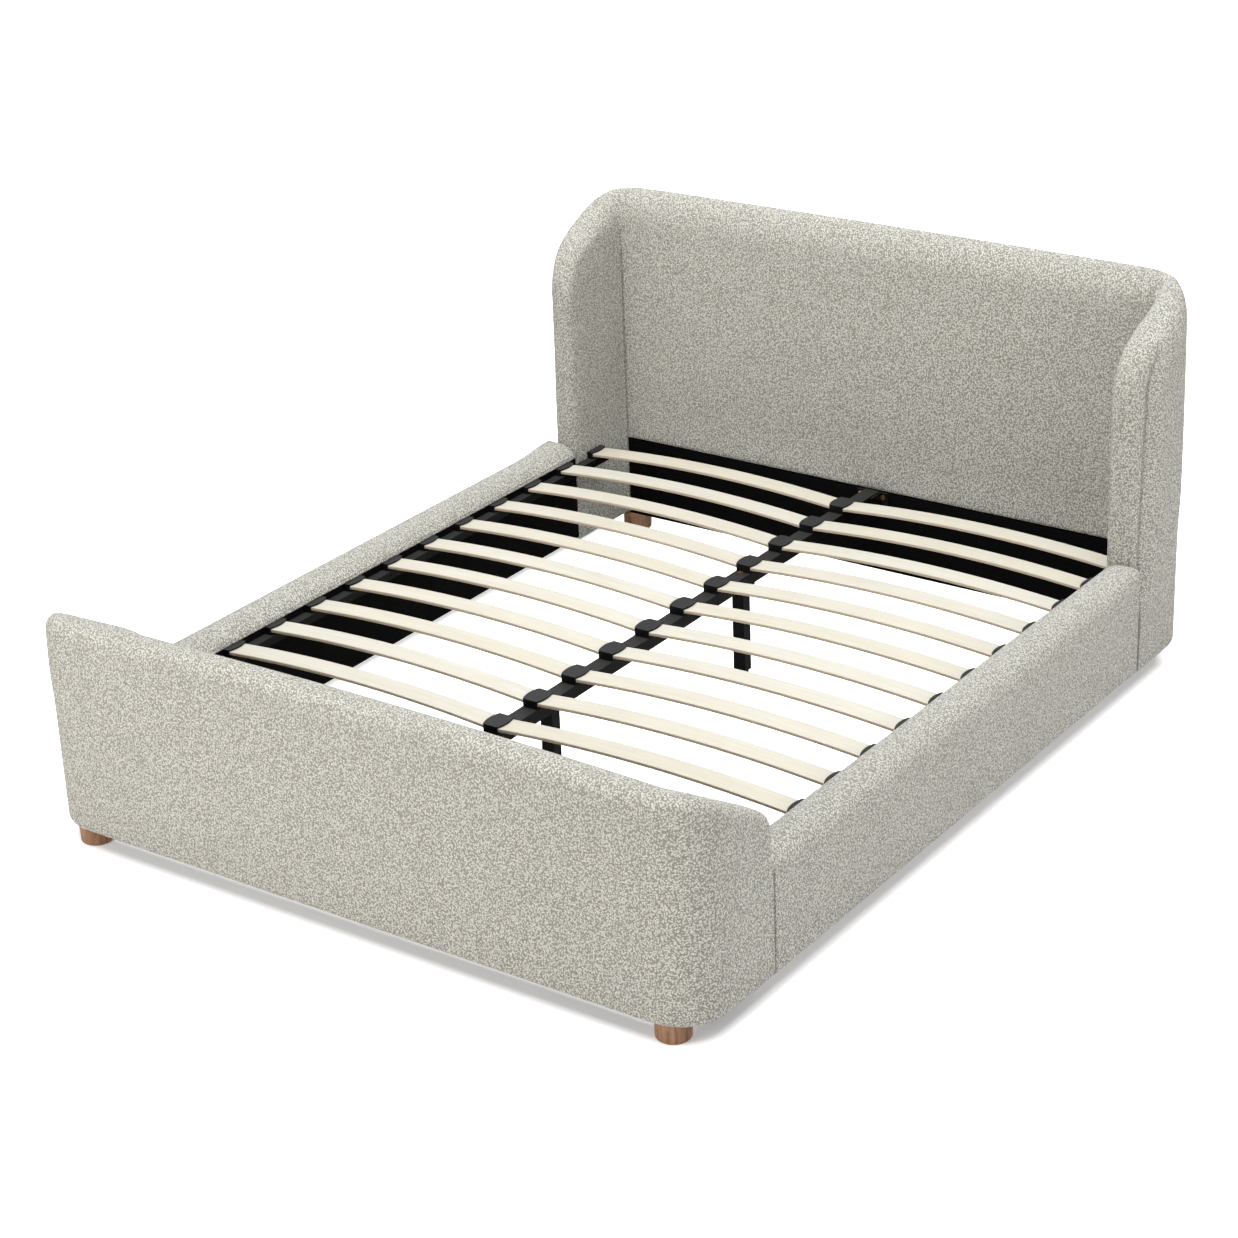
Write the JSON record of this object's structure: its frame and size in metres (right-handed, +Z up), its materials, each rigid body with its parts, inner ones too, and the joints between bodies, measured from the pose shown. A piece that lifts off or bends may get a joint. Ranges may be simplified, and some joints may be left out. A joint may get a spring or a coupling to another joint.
{
  "type": "upholstered bed frame",
  "caption": "Low upholstered bed frame with a winged headboard, a wrap-round footboard, padded side rails, sprung wooden slats and a steel centre beam on legs.",
  "frame": {"origin": "on the floor, under the middle of the bed's box", "axes": "+Z up, +Y from the foot to the headboard, +X to the right seen from the foot"},
  "size_m": [1.732, 2.204, 0.953],
  "materials": {
    "boucle": "looped greige boucle cloth",
    "black_lining": "matt black lining cloth",
    "plywood": "raw plywood, hidden",
    "birch": "pale laminated birch, satin",
    "walnut": "brown stained, satin",
    "black_steel": "black powder coat",
    "black_plastic": "moulded, fine grain",
    "copper_bolt": "copper coloured plating",
    "zinc_steel": "bright zinc, hidden"
  },
  "bodies": {
    "bed": {"headboard_panel": "plywood", "headboard_pad": "boucle", "headboard_back": "boucle", "headboard_lining": "black_lining", "wing_panel_left": "plywood", "wing_panel_right": "plywood", "wing_pad_left": "boucle", "wing_pad_right": "boucle", "rail_board_left": "plywood", "rail_board_right": "plywood", "rail_pad_left": "boucle", "rail_pad_right": "boucle", "rail_lining_left": "black_lining", "rail_lining_right": "black_lining", "footboard_panel": "plywood", "footboard_pad": "boucle", "footboard_lining": "black_lining", "rail_end_plates": "zinc_steel", "rail_end_bolts": "zinc_steel", "wooden_feet": "walnut", "foot_studs": "zinc_steel", "slat_ledger_left": "black_steel", "slat_ledger_right": "black_steel", "ledger_screws": "black_steel", "centre_beam": "black_steel", "beam_brackets": "black_steel", "bracket_bolts": "copper_bolt", "leg_bolts": "copper_bolt", "centre_leg_head": "black_steel", "centre_leg_foot": "black_steel", "slat_caps": "black_plastic", "centre_slat_holders": "black_plastic", "slat_01_left": "birch", "slat_01_right": "birch", "slat_02_left": "birch", "slat_02_right": "birch", "slat_03_left": "birch", "slat_03_right": "birch", "slat_04_left": "birch", "slat_04_right": "birch", "slat_05_left": "birch", "slat_05_right": "birch", "slat_06_left": "birch", "slat_06_right": "birch", "slat_07_left": "birch", "slat_07_right": "birch", "slat_08_left": "birch", "slat_08_right": "birch", "slat_09_left": "birch", "slat_09_right": "birch", "slat_10_left": "birch", "slat_10_right": "birch", "slat_11_left": "birch", "slat_11_right": "birch", "slat_12_left": "birch", "slat_12_right": "birch", "slat_13_left": "birch", "slat_13_right": "birch"},
    "glide_head": {"levelling_glide_head": "black_plastic"},
    "glide_foot": {"levelling_glide_foot": "black_plastic"}
  },
  "joints": [
    {"name": "glide_head_height", "type": "slide", "parent": "bed", "child": "glide_head", "axis": [0, 0, 1], "range_m": [-0.014, 0.0035]},
    {"name": "glide_foot_height", "type": "slide", "parent": "bed", "child": "glide_foot", "axis": [0, 0, 1], "range_m": [-0.014, 0.0035]}
  ]
}
